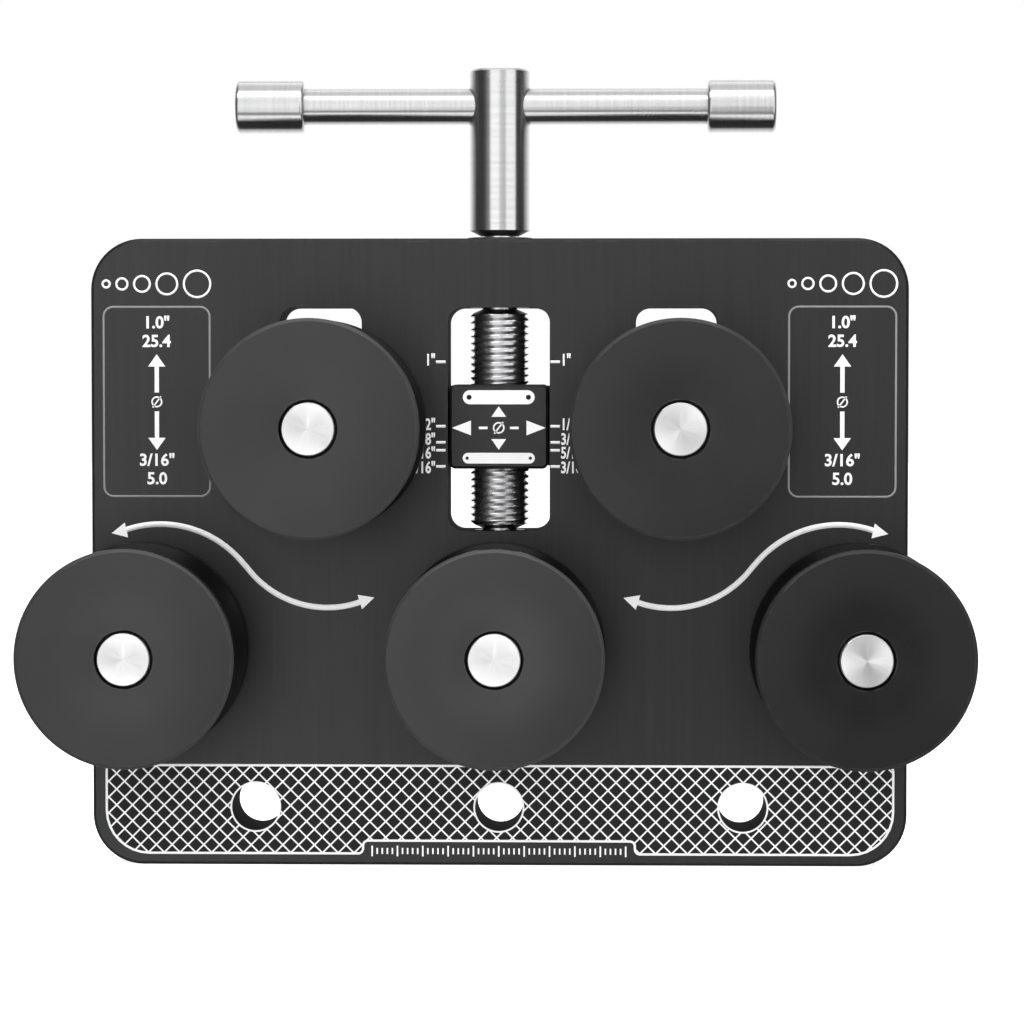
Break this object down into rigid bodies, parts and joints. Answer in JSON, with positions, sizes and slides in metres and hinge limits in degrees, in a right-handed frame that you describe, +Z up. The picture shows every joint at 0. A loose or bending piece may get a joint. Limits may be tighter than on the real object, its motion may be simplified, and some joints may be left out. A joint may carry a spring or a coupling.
{
  "type": "tube straightener",
  "caption": "Bench tube straightener: grooved rollers on an upright plate, the upper row on a carriage that a screw with a tommy bar raises and lowers.",
  "frame": {"origin": "axis of the middle mounting hole, on the plate's rear face", "axes": "+X along the tube to the right, +Y rearwards through the plate, +Z up towards the handle"},
  "size_m": [0.1818, 0.0557, 0.1568],
  "materials": {
    "anodised_black": "satin black anodised, brushed",
    "roller_black": "matt black anodised",
    "polished_steel": "turned and polished",
    "bearing_steel": "ground",
    "black_steel": "black oxide"
  },
  "bodies": {
    "frame": {"base_plate": "anodised_black", "top_bush": "black_steel", "bottom_bush": "black_steel", "lower_left_axle": "polished_steel", "lower_middle_axle": "polished_steel", "lower_right_axle": "polished_steel", "lower_axle_screws": "black_steel", "lower_inner_races": "bearing_steel", "lower_race_spacers": "bearing_steel"},
    "carriage": {"carriage_bar": "anodised_black", "nut_block": "anodised_black", "nut_block_screws": "black_steel", "left_slide": "anodised_black", "right_slide": "anodised_black", "upper_left_axle": "polished_steel", "upper_right_axle": "polished_steel", "upper_axle_screws": "black_steel", "upper_inner_races": "bearing_steel", "upper_race_spacers": "bearing_steel"},
    "screw": {"lead_screw": "polished_steel", "handle_hub": "polished_steel", "hub_set_screw": "black_steel"},
    "tommy_bar": {"cross_bar": "polished_steel", "left_bar_cap": "polished_steel", "right_bar_cap": "polished_steel"},
    "roller_upper_left": {"upper_left_roller": "roller_black", "upper_left_outer_races": "bearing_steel", "upper_left_bearing_balls": "bearing_steel", "upper_left_bearing_shields": "bearing_steel", "upper_left_circlip": "black_steel"},
    "roller_upper_right": {"upper_right_roller": "roller_black", "upper_right_outer_races": "bearing_steel", "upper_right_bearing_balls": "bearing_steel", "upper_right_bearing_shields": "bearing_steel", "upper_right_circlip": "black_steel"},
    "roller_lower_left": {"lower_left_roller": "roller_black", "lower_left_outer_races": "bearing_steel", "lower_left_bearing_balls": "bearing_steel", "lower_left_bearing_shields": "bearing_steel", "lower_left_circlip": "black_steel"},
    "roller_lower_middle": {"lower_middle_roller": "roller_black", "lower_middle_outer_races": "bearing_steel", "lower_middle_bearing_balls": "bearing_steel", "lower_middle_bearing_shields": "bearing_steel", "lower_middle_circlip": "black_steel"},
    "roller_lower_right": {"lower_right_roller": "roller_black", "lower_right_outer_races": "bearing_steel", "lower_right_bearing_balls": "bearing_steel", "lower_right_bearing_shields": "bearing_steel", "lower_right_circlip": "black_steel"}
  },
  "joints": [
    {"name": "carriage_slide", "type": "slide", "parent": "frame", "child": "carriage", "axis": [0, 0, 1], "range_m": [-0.00794, 0.0127]},
    {"name": "screw_turn", "type": "hinge", "parent": "frame", "child": "screw", "pos_m": [0, -0.0075, 0.1125], "axis": [0, 0, -1], "range_deg": [-2118, 3388]},
    {"name": "tommy_bar_slide", "type": "slide", "parent": "screw", "child": "tommy_bar", "axis": [1, 0, 0], "range_m": [-0.0347, 0.0322]},
    {"name": "upper_left_spin", "type": "hinge", "parent": "carriage", "child": "roller_upper_left", "pos_m": [-0.035, -0.031, 0.075], "axis": [0, -1, 0], "continuous": true},
    {"name": "upper_right_spin", "type": "hinge", "parent": "carriage", "child": "roller_upper_right", "pos_m": [0.035, -0.031, 0.075], "axis": [0, -1, 0], "continuous": true},
    {"name": "lower_left_spin", "type": "hinge", "parent": "frame", "child": "roller_lower_left", "pos_m": [-0.07, -0.031, 0.0315], "axis": [0, -1, 0], "continuous": true},
    {"name": "lower_middle_spin", "type": "hinge", "parent": "frame", "child": "roller_lower_middle", "pos_m": [0, -0.031, 0.0315], "axis": [0, -1, 0], "continuous": true},
    {"name": "lower_right_spin", "type": "hinge", "parent": "frame", "child": "roller_lower_right", "pos_m": [0.07, -0.031, 0.0315], "axis": [0, -1, 0], "continuous": true}
  ],
  "couplings": [
    {"joint": "screw_turn", "follows": "carriage_slide", "rad_per_m": 4654.2}
  ]
}
